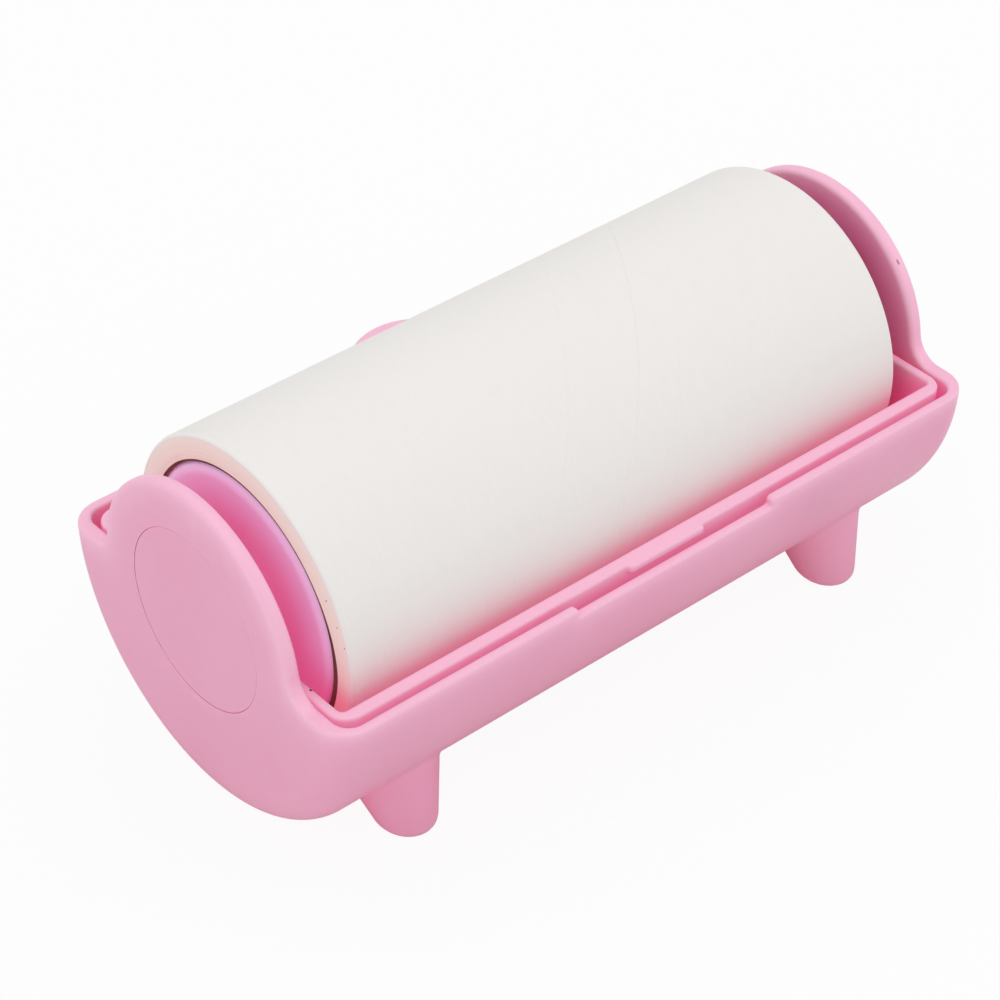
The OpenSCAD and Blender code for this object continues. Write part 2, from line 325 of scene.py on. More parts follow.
def cover_form(s, rim_drop):
    """The inner cover with its grip ridge and thumb tab, about the pivot axis."""
    bore = s.radius - s.wall
    tab_mid = s.tab_gap - rim_drop + s.tab_thick / 2
    tab_top = tab_mid + s.tab_thick / 2
    ridge_foot = rim_drop + s.ridge_height
    riser_mid, riser_half = (tab_top - ridge_foot) / 2, (tab_top + ridge_foot) / 2
    # Roundings of the ridge's foot and of the tab's edges, and fillets where they join the wall.
    foot_edge, tab_edge, riser_edge, tab_end = 0.35 * MM, 0.7 * MM, 0.3 * MM, 0.6 * MM
    ridge_fillet, riser_fillet, tab_fillet = 0.3 * MM, 0.45 * MM, 0.4 * MM

    def field(x, y, z):
        out_x, from_axis = np.abs(x), np.hypot(y, z)
        outside = round_cut(from_axis - s.radius, out_x - s.half, s.edge)
        inside = round_cut(from_axis - bore, out_x - s.half + s.end_wall, s.in_edge)
        ridge = round_cut(from_axis - s.radius - s.ridge_out, out_x - s.ridge_width / 2, s.ridge_out)
        ridge = round_cut(ridge, -z - ridge_foot, foot_edge)
        outside = round_join(outside, np.where(y < 0, ridge, BROAD), ridge_fillet)
        climb = np.clip((z + rim_drop) / s.ear_blend, 0, 1)
        shell = round_cut(np.maximum(outside, -inside), cover_outline(s, rim_drop, y, z),
                          s.rim_round + (s.ear_round - s.rim_round) * climb)
        plan = np.hypot(x, np.maximum(y - s.tab_reach + s.tab, 0)) - s.tab
        plate = round_cut(plan, np.abs(z - tab_mid) - s.tab_thick / 2, tab_edge)
        riser = round_cut(plan, np.abs(z - riser_mid) - riser_half, tab_edge)
        riser = round_cut(riser, y - s.radius, riser_edge)
        tab = round_cut(round_join(plate, riser, riser_fillet), bore - from_axis, tab_end)
        shell = round_join(shell, np.where(y > 0, tab, BROAD), tab_fillet)
        slot = np.maximum(np.maximum(np.abs(y) - s.key_slot / 2, -z), z - s.key_reach)
        return np.maximum(shell, -np.minimum(from_axis - s.spigot_hole, slot))

    return field


def hub_form(s, boss_out):
    """A hub, from its face at x = 0 inwards along X."""
    def field(x, y, z):
        around, soft = np.hypot(y, z), s.soften
        skin = round_cut(round_cut(around - s.radius, -x, s.edge), x - s.depth, soft)
        hollow = round_cut(around - s.radius + s.wall, s.face - x, 2 * soft)
        cup = round_cut(skin, -hollow, soft)
        turn = TURN / s.ribs
        swing = np.arctan2(y, z)
        beside = np.abs(around * np.sin(swing - turn * np.round(swing / turn)))
        rib = round_cut(beside - s.rib / 2, x - s.depth, soft)
        rib = round_cut(rib, around - s.radius + s.wall / 2, soft)
        rib = np.maximum(rib, s.face / 2 - x)
        boss = round_cut(round_cut(around - s.boss, x - s.depth, soft), -x - boss_out, soft)
        solid = round_join(round_join(cup, rib, soft), boss, soft)
        return round_cut(solid, s.bore - around, soft / 2)

    return field


# ---------- meshes

def grid_lines(low, high, coarse, *zones):
    """Lines from low to high, coarse millimetres apart, and closer in each zone (from, to, spacing)."""
    lines = [low]
    while lines[-1] < high:
        at = lines[-1]
        step = coarse * MM
        for start, end, gap in zones:
            if at < end:
                step = min(step, max(gap * MM, start - at))
        lines.append(at + step)
    return np.array(lines)


def mirrored(lines):
    """The same lines on both sides of zero, half a step away from it."""
    lines = lines - lines[0] + (lines[1] - lines[0]) / 2
    return np.concatenate([-lines[::-1], lines])


def gradient(field, at, reach=0.004 * MM):
    """Unit normals of a form at points."""
    slope = np.empty_like(at)
    for axis in range(3):
        step = np.zeros(3)
        step[axis] = reach
        slope[:, axis] = field(*(at + step).T) - field(*(at - step).T)
    return slope / np.maximum(np.linalg.norm(slope, axis=1, keepdims=True), 1e-12)


def settle(field, at, limit):
    """Moves points straight on to the surface of a form."""
    return at - gradient(field, at) * np.clip(field(*at.T), -limit, limit)[:, None]


def crossings(field, value, grid, axis):
    """Where the grid's lines along one axis pass through the surface, and the four cells round each."""
    inside = value < 0
    after = np.roll(inside, -1, axis)
    changed = inside != after
    changed[(slice(None),) * axis + (-1,)] = False
    node = np.argwhere(changed)
    side, next_side = (axis + 1) % 3, (axis + 2) % 3
    for other in (side, next_side):
        node = node[(node[:, other] > 0) & (node[:, other] < value.shape[other] - 1)]
    step = np.eye(3, dtype=int)[axis]
    low = np.stack([grid[k][node[:, k]] for k in range(3)], 1)
    high = np.stack([grid[k][(node + step)[:, k]] for k in range(3)], 1)
    low_value, high_value = value[tuple(node.T)].copy(), value[tuple((node + step).T)].copy()
    starts_inside = low_value < 0
    for _ in range(4):
        share_of_way = np.clip(low_value / (low_value - high_value), 0.02, 0.98)[:, None]
        middle = low + (high - low) * share_of_way
        middle_value = field(*middle.T)
        before = (middle_value < 0) == starts_inside
        low[before], low_value[before] = middle[before], middle_value[before]
        high[~before], high_value[~before] = middle[~before], middle_value[~before]
    cells = []
    for a, b in ((-1, -1), (0, -1), (0, 0), (-1, 0)):
        cell = node.copy()
        cell[:, side] += a
        cell[:, next_side] += b
        cells.append(np.ravel_multi_index(cell.T, value.shape))
    cells = np.stack(cells, 1)
    cells[~starts_inside] = cells[~starts_inside, ::-1]
    return middle, cells


def skin(field, xs, ys, zs):
    """Corners and four-sided faces of a form's surface. Each grid cell that it passes through gets one
    corner, nearest to all the tangent planes found on the cell's edges, so creases stay crisp."""
    grid = (xs, ys, zs)
    value = np.stack([np.broadcast_to(field(x, ys[:, None], zs[None, :]), (len(ys), len(zs))) for x in xs])
    found = [crossings(field, value, grid, axis) for axis in range(3)]
    point = np.concatenate([at for at, cells in found])
    faces = np.concatenate([cells for at, cells in found])
    normal = gradient(field, point)
    cell, faces = np.unique(faces, return_inverse=True)
    faces = faces.reshape(-1, 4)
    total, owner = len(cell), faces.ravel()

    def gather(weights):
        return np.bincount(owner, np.repeat(weights, 4), total)

    count = gather(np.ones(len(point)))
    mean = np.stack([gather(point[:, k]) for k in range(3)], 1) / count[:, None]
    planes, pull = np.zeros((total, 3, 3)), np.zeros((total, 3))
    across = (np.repeat(normal, 4, 0) * (np.repeat(point, 4, 0) - mean[owner])).sum(1)
    for i in range(3):
        pull[:, i] = np.bincount(owner, np.repeat(normal[:, i], 4) * across, total)
        for j in range(i, 3):
            planes[:, i, j] = planes[:, j, i] = gather(normal[:, i] * normal[:, j])
    planes += np.eye(3) * (HOLD * count)[:, None, None]
    corner = mean + np.linalg.solve(planes, pull[:, :, None])[:, :, 0]
    low_at = np.stack(np.unravel_index(cell, value.shape), 1)
    for k in range(3):
        corner[:, k] = np.clip(corner[:, k], grid[k][low_at[:, k]], grid[k][low_at[:, k] + 1])
    return settle(field, corner, FIRST_MOVE), faces


def mesh_piece(name, corners, faces):
    """A smooth piece in the frame, from corners in metres and faces."""
    mesh = bpy.data.meshes.new(name)
    mesh.from_pydata(np.asarray(corners).tolist(), [], faces)
    mesh.validate()
    mesh.shade_smooth()
    piece = bpy.data.objects.new(name, mesh)
    bpy.context.scene.collection.objects.link(piece)
    return piece


def modified(piece, kind, **settings):
    """Gives a piece the mesh that a modifier makes of it."""
    modifier = piece.modifiers.new("Finish", kind)
    for key, value in settings.items():
        setattr(modifier, key, value)
    shaped = piece.evaluated_get(bpy.context.evaluated_depsgraph_get())
    mesh = bpy.data.meshes.new_from_object(shaped)
    piece.modifiers.clear()
    piece.data = mesh
    mesh.name = piece.name


def column(items, field, kind=int, width=1):
    """One field of every item in a mesh's list."""
    values = np.empty(len(items) * width, kind)
    items.foreach_get(field, values)
    return values


def mesh_arrays(mesh):
    """Corners, each face corner's own corner and face by number, and how many sides each face has."""
    at = column(mesh.vertices, "co", float, 3).reshape(-1, 3)
    around, sides = column(mesh.loops, "vertex_index"), column(mesh.polygons, "loop_total")
    return at, around, np.repeat(np.arange(len(sides)), sides), sides


def mask(piece, label, values):
    """Writes a mask on to a piece, one value for each corner, for its material to read."""
    piece.data.attributes.new(label, "FLOAT", "POINT").data.foreach_set("value", values)


def inner_faces(at, normal, half, radius):
    """From 0 on a shell's outer faces and rims to 1 on the faces that look in from within half and radius."""
    towards = -at / np.array([half, radius, radius])
    towards /= np.maximum(np.linalg.norm(towards, axis=1), 1e-9)[:, None]
    inside = (abs(at[:, 0]) < half) & (np.hypot(at[:, 1], at[:, 2]) < radius)
    return np.clip(((towards * normal).sum(1) - 0.25) / 0.5, 0, 1) * inside


def moulded_piece(name, field, lines, keep, mirror_at=None, outline=None, shell=None):
    """A moulded piece: the skin of a form about the pivot axis, thinned where it is flat, with exact normals.
    Its "edge" mask is 1 on outer edges (wear and a painted highlight), "rim" runs from 1 at an outline to 0 a
    few millimetres under it (painted highlight on the rims), and "inner" is 1 inside a shell (painted bounce
    light)."""
    corners, faces = skin(field, *lines)
    piece = mesh_piece(name, corners, faces.tolist())
    modified(piece, "DECIMATE", ratio=keep)
    at, around, owner, sides = mesh_arrays(piece.data)
    at = settle(field, at, LAST_MOVE)
    middle = np.stack([np.bincount(owner, at[around, k], len(sides)) for k in range(3)], 1) / sides[:, None]
    normal = gradient(field, at)[around]
    beside = gradient(field, at[around] + (middle[owner] - at[around]) * BESIDE)
    crisp = (normal * beside).sum(1) < CREASE
    normal[crisp] = beside[crisp]
    bend = sharpness(field, at)
    # Painted highlight: the rim mask lightens the plastic along its outline and fades below it.
    under = -outline(*at.T) if outline else np.full(len(at), BROAD)
    rim = np.exp(-np.maximum(under - RIM_HIGHLIGHT_BAND, 0) / RIM_HIGHLIGHT_FADE)
    # Painted bounce light: the inner mask says where the inner faces are painted a stronger pink.
    inner = inner_faces(at, gradient(field, at), *shell) if shell else np.zeros(len(at))
    if mirror_at is not None:
        at[:, 0] = mirror_at * 2 - at[:, 0]
        normal[:, 0] *= -1
    at = at + np.array(AXIS)
    piece.data.vertices.foreach_set("co", at.ravel())
    if mirror_at is not None:
        normal = flip_faces(piece.data, normal)
    piece.data.shade_smooth()
    piece.data.update()
    piece.data.normals_split_custom_set(normal.tolist())
    for label, values in (("edge", bend), ("rim", rim), ("inner", inner)):
        mask(piece, label, values.astype(np.float32))
    return piece


def flip_faces(mesh, normal):
    """Turns every face over and gives the face corners' normals in their new order."""
    start, total = column(mesh.polygons, "loop_start"), column(mesh.polygons, "loop_total")
    mesh.flip_normals()
    order = np.arange(len(normal))
    owner = np.repeat(np.arange(len(total)), total)
    within = order - start[owner]
    back = start[owner] + np.where(within == 0, 0, total[owner] - within)
    return normal[back]


def sharpness(field, at, reach=0.12 * MM):
    """From 0 where a surface is flat or hollow to 1 on its outer edges."""
    spread = np.zeros(len(at))
    for axis in range(3):
        step = np.zeros(3)
        step[axis] = reach
        spread += (gradient(field, at + step) - gradient(field, at - step))[:, axis] / (2 * reach)
    return np.clip((spread - WORN_LIT_FROM) / WORN_LIT_RANGE, 0, 1)


def rounded_outline(points, pieces=5):
    """An outline of (x, radius, rounding) with its corners rounded, as (x, radius) points."""
    outline = []
    for i, (x, r, rounding) in enumerate(points):
        here = Vector((x, r))
        back, ahead = Vector(points[i - 1][:2]) - here, Vector(points[(i + 1) % len(points)][:2]) - here
        if rounding == 0 or back.length == 0 or ahead.length == 0:
            outline.append((x, r))
            continue
        half = back.angle(ahead) / 2
        cut = rounding / math.tan(half)
        centre = here + (back.normalized() + ahead.normalized()).normalized() * rounding / math.sin(half)
        first, last = here + back.normalized() * cut - centre, here + ahead.normalized() * cut - centre
        swing = first.angle_signed(last)
        for n in range(pieces + 1):
            spoke = first.copy()
            spoke.rotate(Matrix.Rotation(-swing * n / pieces, 2))
            outline.append(tuple(centre + spoke))
    return outline


def about_axis(x, radius, turn):
    """A place given lengthwise, by its distance from the axis and its turn from the top towards the rear."""
    return (x, AXIS.y + radius * math.sin(turn), AXIS.z + radius * math.cos(turn))


def turned_piece(name, outline, segments, closed=False, reach_at=None):
    """A piece turned about the pivot axis from an outline of (x, radius) points. It ends on the axis unless
    it is closed. reach_at may change a point's radius at some angles."""
    rows, columns = len(outline), len(segments)
    corners = [about_axis(x, reach_at(i, r, turn) if reach_at else r, turn)
               for i, (x, r) in enumerate(outline) for turn in segments]
    faces = []
    for i in range(rows if closed else rows - 1):
        a, b = i * columns, (i + 1) % rows * columns
        faces += [(a + j, a + (j + 1) % columns, b + (j + 1) % columns, b + j) for j in range(columns)]
    return even_normals(mesh_piece(name, corners, faces))


def even_normals(piece, crease=math.radians(32)):
    """Welds a closed piece, turns its faces outwards, and keeps flat faces flat between soft edges."""
    shape = bmesh.new()
    shape.from_mesh(piece.data)
    bmesh.ops.remove_doubles(shape, verts=shape.verts, dist=0.0005 * MM)
    bmesh.ops.recalc_face_normals(shape, faces=shape.faces)
    shape.to_mesh(piece.data)
    shape.free()
    piece.data.shade_smooth()
    piece.data.set_sharp_from_angle(angle=crease)
    modified(piece, "WEIGHTED_NORMAL", keep_sharp=True)
    return piece


def even_turn(count):
    return [TURN * i / count for i in range(count)]


def quarter_round(part):
    """How far a quarter circle has dropped, as a part of its radius, at a part of the way along it."""
    return 1 - math.sqrt(max(1 - part * part, 0))


def sheet_shoulder(s, from_end):
    """How far the paper turns in at a distance from the roll's end."""
    part = min(max(1 - from_end / s.shoulder, 0), 1)
    return s.drop * quarter_round(part)


def top_sheet(s, low, high):
    """The outermost turn: a thin tube whose mesh follows the slanting tear lines."""
    # Each tear line: where it crosses the top of the roll, in millimetres from the middle, and its depth.
    tears = [(-22.0, 0.2), (3.8, 0.4), (16.5, 1), (23.7, 0.44), (40.5, 0.24)]
    groove = [(-1, 0), (-0.4, 0.7), (0, 1), (0.4, 0.7), (1, 0)]
    slope = s.twist / TURN
    centres = [(x * MM / slope) % TURN for x, deep in tears]
    lines = [((centre + aside * s.tear_width / s.radius) % TURN, deep * part)
             for (x, deep), centre in zip(tears, centres) for aside, part in groove]
    room = 2 * s.tear_width / s.radius
    lines += [(turn, 0) for turn in even_turn(ROLL_STEPS)
              if all(abs((turn - centre + math.pi) % TURN - math.pi) > room for centre in centres)]
    lines.sort()
    ends = [s.shoulder * part for part in (0, 0.06, 0.16, 0.32, 0.55, 0.8, 1)]
    inner = np.linspace(low + s.shoulder, high - s.shoulder, 74)[1:-1]
    rings = [low + e for e in ends] + list(inner) + [high - e for e in reversed(ends)]
    corners, faces, torn, count = [], [], [], len(lines)
    for lift in (0, s.sheet - 0.01 * MM):
        for x in rings:
            reach = s.radius - sheet_shoulder(s, min(x - low, high - x)) - lift
            for turn, deep in lines:
                out = reach - (deep * DEEPEST_TEAR if not lift else 0)
                corners.append(about_axis(x, out, x / slope - turn))
                torn.append(deep)
    half = len(rings) * count
    for i in range(len(rings) - 1):
        for j in range(count):
            a, b = i * count + j, i * count + (j + 1) % count
            faces.append((a, b, b + count, a + count))
            faces.append((half + a + count, half + b + count, half + b, half + a))
    for i in (0, len(rings) - 1):
        for j in range(count):
            a, b = i * count + j, i * count + (j + 1) % count
            faces.append((a, a + half, b + half, b) if i == 0 else (a, b, b + half, a + half))
    piece = mesh_piece("top_sheet_paper", corners, faces)
    # The tear mask, deepest in the grooves, says where the sheet gets painted shade.
    mask(piece, "tear", torn)
    return even_normals(piece, math.radians(50))


def wound_paper(s, low, high):
    """The paper under the top sheet, with its wound layers showing at both ends."""
    outer, draws = s.radius - s.sheet, np.random.default_rng(7)
    layers = int((outer - s.core) / s.sheet)
    pitch = (outer - s.core) / layers
    outline = []
    for end, out in ((low, 1), (high, -1)):
        side = []
        for n in range(layers):
            inner_r, sink = s.core + n * pitch, abs(draws.normal(0, 0.01)) * MM
            for part, extra in ((0.12, 0.008), (0.3, 0), (0.7, 0), (0.88, 0.008)):
                r = inner_r + part * pitch
                past = max(r - (outer - s.drop), 0) / s.drop
                side.append((end + out * (sink + extra * MM + s.shoulder * quarter_round(past)), r))
        outline += side if out > 0 else side[::-1]
    outline.append((high, s.core + 0.01 * MM))
    outline.append((low, s.core + 0.01 * MM))
    return turned_piece("adhesive_roll_paper", outline, even_turn(ROLL_STEPS), closed=True)


def core_board(s, low, high):
    """The cardboard core. Its cut ends have swollen inwards, against the rounded edge of the hubs, and show a
    ring of dark brown inner ply that is widest at one side: partly the board's colour, partly painted shade
    of the crevice between hub and core. The outer ply is as pale as the paper."""
    inner = s.core - s.core_wall
    lip = inner - s.swelling

    # Radius to which the end face is painted dark brown: board colour and painted shade, widest at one side.
    def brown_and_shade_to(turn):
        aside = abs((turn + math.radians(120)) % TURN)
        aside = min(aside, TURN - aside) / math.radians(75)
        wide = s.ply_shade_width * math.cos(min(aside, 1) * math.pi / 2) ** 2
        return min(inner - 0.03 * MM + wide, s.core - 0.05 * MM)

    near = [(low + 2 * s.swelling, inner), (low + 0.12 * MM, lip), (low + 0.03 * MM, lip + 0.03 * MM),
            (low, lip + 0.09 * MM), (low, 0), (low, 1), (low, s.core)]
    outline = near + [(low + high - x, r) for x, r in reversed(near)]

    def reach_at(i, r, turn):
        return brown_and_shade_to(turn) + r * 0.03 * MM if r in (0, 1) else r

    piece = turned_piece("core_tube_board", outline, even_turn(ROLL_STEPS), closed=True, reach_at=reach_at)
    ply = []
    for vertex in piece.data.vertices:
        y, z = vertex.co.y - AXIS.y, vertex.co.z - AXIS.z
        ply.append(float(math.hypot(y, z) > brown_and_shade_to(math.atan2(y, z)) + 0.015 * MM))
    mask(piece, "ply", ply)
    return piece


def pivot_moulding(name, s, end, axle_end):
    """A flush disc with its spigot, snap bead, key and axle. end is the disc's outer face, lengthwise."""
    out = math.copysign(1, end)
    back, bead, stub = out * s.disc_back, out * s.bead_x, out * (s.bead_x - s.bead_width)
    soft = 0.12 * MM
    outline = rounded_outline([
        (end, 0, 0), (end, s.disc, s.seam), (back, s.disc, soft), (back, s.spigot, 0), (bead, s.spigot, 0),
        (bead, s.spigot + s.bead_out, 0), (stub, s.spigot + s.bead_out, soft), (stub, s.axle, soft),
        (axle_end, s.axle, 2 * soft), (axle_end, 0, 0),
    ], 4)[:-1] + [(axle_end, 0)]
    keyed = [i for i, (x, r) in enumerate(outline) if abs(r - s.spigot) < 0.001 * MM]
    half_key = math.asin(s.key_width / 2 / s.key_top)
    key_turns = [side for swing in (half_key, half_key * 1.02) for side in (swing, TURN - swing)]
    turns = sorted(even_turn(DISC_STEPS) + key_turns)

    def reach_at(i, r, turn):
        swing = abs((turn + math.pi) % TURN - math.pi)
        return s.key_top / math.cos(swing) if i in keyed and swing <= half_key * 1.001 else r

    return turned_piece(name, outline, turns, reach_at=reach_at)


# ---------- materials

def put(tree, kind, inputs=None, **settings):
    """Adds a shader node. An input given as another node's output is linked, and any other value is set."""
    node = tree.nodes.new("ShaderNode" + kind)
    for key, value in settings.items():
        setattr(node, key, value)
    for key, value in (inputs or {}).items():
        if isinstance(value, NodeSocket):
            tree.links.new(value, node.inputs[key])
        else:
            node.inputs[key].default_value = value
    return node


def ranged(tree, value, low, high, to_low=0.0, to_high=1.0):
    """Maps the range low to high of a value on to another range, and stops at its ends."""
    return put(tree, "MapRange", {
        "Value": value, "From Min": low, "From Max": high, "To Min": to_low, "To Max": to_high}).outputs[0]


def sums(tree, operation, a, b):
    return put(tree, "Math", {0: a, 1: b}, operation=operation).outputs[0]


def times(tree, a, b):
    return sums(tree, "MULTIPLY", a, b)


def blended(tree, part, a, b):
    """Colour a turning to colour b."""
    def rgba(value):
        return value if isinstance(value, NodeSocket) else (*value, 1)
    return put(tree, "Mix", {0: part, 6: rgba(a), 7: rgba(b)}, data_type="RGBA").outputs[2]


def layered(tree, tone, *layers):
    """Lays colours over a tone, each with the mask that says where."""
    for where, pigment in layers:
        tone = blended(tree, where, tone, pigment)
    return tone


def darker(tone, part):
    """A colour, times a part. Over 1 it is a lighter one."""
    return [c * part for c in tone]


def paler(tone, part):
    """A colour that lies nearer to white: a part of the way from white to the tone."""
    return [1 - (1 - c) * part for c in tone]


def noise(tree, vector, scale, detail=2.0, rough=0.5):
    return put(tree, "TexNoise", {
        "Vector": vector, "Scale": scale, "Detail": detail, "Roughness": rough}).outputs[0]


def effect(name, inputs):
    """Turns a function that lays out shader nodes into one that gives them as a node group, built once.
    Besides its Vector the group has an input for each default given and an output for each mask."""
    def wrapped(build):
        def group_of():
            group = bpy.data.node_groups.get(name)
            if group:
                return group
            group = bpy.data.node_groups.new(name, "ShaderNodeTree")
            for label, value in {"Vector": (0, 0, 0), **inputs}.items():
                kind = "NodeSocketFloat" if isinstance(value, float) else "NodeSocketVector"
                group.interface.new_socket(label, in_out="INPUT", socket_type=kind).default_value = value
            results = build(group, group.nodes.new("NodeGroupInput").outputs)
            for label in results:
                group.interface.new_socket(label, in_out="OUTPUT", socket_type="NodeSocketFloat")
            ends = group.nodes.new("NodeGroupOutput")
            for label, value in results.items():
                group.links.new(value, ends.inputs[label])
            return group
        return group_of
    return wrapped


@effect("Moulded Skin", {"Grain Scale": 4000.0, "Flow Scale": 40.0})
def moulded_skin(tree, given):
    """Fine spark-eroded grain, slow flow marks and patches of gloss."""
    fine = noise(tree, given["Vector"], given["Grain Scale"], 2)
    pores = noise(tree, given["Vector"], times(tree, given["Grain Scale"], 0.3), 3)
    flow = noise(tree, given["Vector"], given["Flow Scale"], 3, 0.6)
    height = sums(tree, "ADD", fine, times(tree, pores, 0.6))
    return {"Height": height, "Gloss": pores, "Flow": ranged(tree, flow, 0.3, 0.7)}


@effect("Edge Wear And Highlight", {"Edge": 0.0, "Patch Scale": 220.0, "Amount": 0.5})
def edge_wear_and_highlight(tree, given):
    """Patchy rubbing along outer edges, paler in colour: partly wear and partly a painted highlight."""
    patches = ranged(tree, noise(tree, given["Vector"], given["Patch Scale"], 4, 0.65), 0.35, 0.65)
    worn_lit = times(tree, given["Edge"], ranged(tree, patches, 0, 1, 0.45, 1))
    return {"Wear": times(tree, worn_lit, given["Amount"])}


@effect("Dust Specks", {"Scale": 250.0, "Amount": 0.02})
def dust_specks(tree, given):
    """Sparse specks: a few cells out of many hold one."""
    cells = put(tree, "TexVoronoi", {"Vector": given["Vector"], "Scale": given["Scale"]}).outputs
    pick = put(tree, "SeparateColor", {0: cells["Color"]}).outputs[0]
    near = sums(tree, "LESS_THAN", cells["Distance"], times(tree, pick, 0.07))
    chosen = sums(tree, "GREATER_THAN", pick, sums(tree, "SUBTRACT", 1.0, given["Amount"]))
    return {"Specks": times(tree, near, chosen)}


@effect("Paper Fibre", {"Fibre Scale": 2500.0})
def paper_fibre(tree, given):
    """Fine fibres drawn out along the web, which runs round the roll, with broad soft clouds."""
    drawn = put(tree, "Mapping", {"Vector": given["Vector"], "Scale": (1, 0.16, 0.16)},
                vector_type="POINT").outputs[0]
    threads = noise(tree, drawn, given["Fibre Scale"], 3, 0.6)
    cloud = noise(tree, given["Vector"], times(tree, given["Fibre Scale"], 0.03), 3, 0.6)
    return {"Height": sums(tree, "ADD", threads, cloud), "Fibre": ranged(tree, threads, 0.3, 0.7),
            "Cloud": ranged(tree, cloud, 0.3, 0.7)}


@effect("Handling Mark", {"Place": (0, 0, 0), "Size": 0.001, "Core": 0.5})
def handling_mark(tree, given):
    """A small mark: 1 at its place, fading to 0 at its size."""
    away = put(tree, "VectorMath", {0: given["Vector"], 1: given["Place"]}, operation="DISTANCE")
    reach = sums(tree, "DIVIDE", away.outputs["Value"], given["Size"])
    return {"Mark": ranged(tree, reach, given["Core"], 1.0, 1.0, 0.0)}


def marked(tree, place, tone, stain, strength, *marks):
    """Blends small marks, each given by its place, size and core, into a tone."""
    for at, size, core in marks:
        mark = placed(tree, place, handling_mark(), {"Place": at, "Size": size, "Core": core})["Mark"]
        tone = blended(tree, times(tree, mark, strength), tone, stain)
    return tone


def clean_tree(holder):
    """The emptied shader tree of a material or the world."""
    holder.use_nodes = True
    holder.node_tree.nodes.clear()
    return holder.node_tree


def fresh_material(name, let_through=None):
    """A material with a Principled shader, and the piece's own coordinates in metres. With a let_through
    colour its walls pass on some of the light and tint it, as thin translucent plastic does."""
    material = bpy.data.materials.new(name)
    tree = clean_tree(material)
    shader = put(tree, "BsdfPrincipled")
    surface = shader.outputs[0]
    if let_through is not None:
        clear = put(tree, "BsdfTransparent", {"Color": (*let_through, 1)}).outputs[0]
        path = put(tree, "LightPath").outputs
        part = sums(tree, "MAXIMUM", path["Is Shadow Ray"], times(tree, path["Is Diffuse Ray"], PASSED_ON))
        surface = put(tree, "MixShader", {0: part, 1: surface, 2: clear}).outputs[0]
    put(tree, "OutputMaterial", {"Surface": surface})
    place = put(tree, "TexCoord").outputs["Object"]
    return material, tree, shader, place


def placed(tree, place, group, values=None):
    """Puts in a shader node group at a place, and gives its outputs."""
    return put(tree, "Group", {"Vector": place, **(values or {})}, node_tree=group).outputs


def painted(tree, label):
    """A mask that the mesh carries."""
    return put(tree, "Attribute", attribute_name=label).outputs["Fac"]


def coat(tree, shader, tone, matt, height, grain):
    """Gives a shader its colour, its roughness and a fine relief."""
    relief = put(tree, "Bump", {"Height": height, "Distance": grain, "Strength": 1.0}).outputs[0]
    for label, value in (("Base Color", tone), ("Roughness", matt), ("Normal", relief)):
        tree.links.new(value, shader.inputs[label])


def moulded_plastic(name, finish, pigment, marks=()):
    """Satin moulded plastic with grain, flow marks, worn edges that also carry a painted highlight, a painted
    highlight on its rims, painted bounce light on its inner faces, a little dust and the piece's own marks.
    """
    material, tree, shader, place = fresh_material(name, finish.glow)
    grain = placed(tree, place, moulded_skin())
    # Edges are rougher from wear, and painted paler: partly wear and partly a painted highlight.
    wear_and_highlight = placed(tree, place, edge_wear_and_highlight(), {"Edge": painted(tree, "edge"), "Amount": 0.35})["Wear"]
    dust = placed(tree, place, dust_specks(), {"Scale": 240.0, "Amount": 0.012})["Specks"]
    # Painted highlight: a lighter, paler pink laid along the rims and ear edges.
    rim = paler([min(c * finish.rim_highlight, 1) for c in pigment], 0.85)
    # Painted bounce light: the inner layer paints the shells' inner faces a stronger pink.
    tone = layered(tree, pigment, (grain["Flow"], paler(pigment, 0.93)),
                   (painted(tree, "inner"), finish.inside), (painted(tree, "rim"), rim),
                   (wear_and_highlight, paler(pigment, 0.72)), (times(tree, dust, 0.5), darker(pigment, 0.6)))
    for stain, strength, group in marks:
        tone = marked(tree, place, tone, stain, strength, *group)
    matt = ranged(tree, grain["Gloss"], 0.3, 0.7, finish.gloss - 0.04, finish.gloss + 0.05)
    matt = sums(tree, "ADD", matt, times(tree, wear_and_highlight, 0.12))
    coat(tree, shader, tone, matt, grain["Height"], PLASTIC_GRAIN)
    return material


def sheet_paper(s):
    """White release paper with a faint fibre and a soft sheen."""
    material, tree, shader, place = fresh_material("Sheet Paper")
    fibre = placed(tree, place, paper_fibre(), {"Fibre Scale": 2600.0})
    dust = placed(tree, place, dust_specks(), {"Scale": 200.0, "Amount": 0.006})["Specks"]
    # Painted shade: the sheet is painted darker along the tear-line grooves.
    tone = layered(tree, darker(s.paper, 0.97), (fibre["Fibre"], s.paper),
                   (ranged(tree, fibre["Cloud"], 0, 1, 0, 0.6), darker(s.paper, 0.985)),
                   (times(tree, dust, 0.2), darker(s.paper, 0.8)),
                   (times(tree, painted(tree, "tear"), 0.14), darker(s.paper, 0.78)))
    matt = ranged(tree, fibre["Cloud"], 0, 1, 0.5, 0.6)
    coat(tree, shader, tone, matt, fibre["Height"], SHEET_GRAIN)
    shader.inputs["Specular IOR Level"].default_value = 0.35
    return material


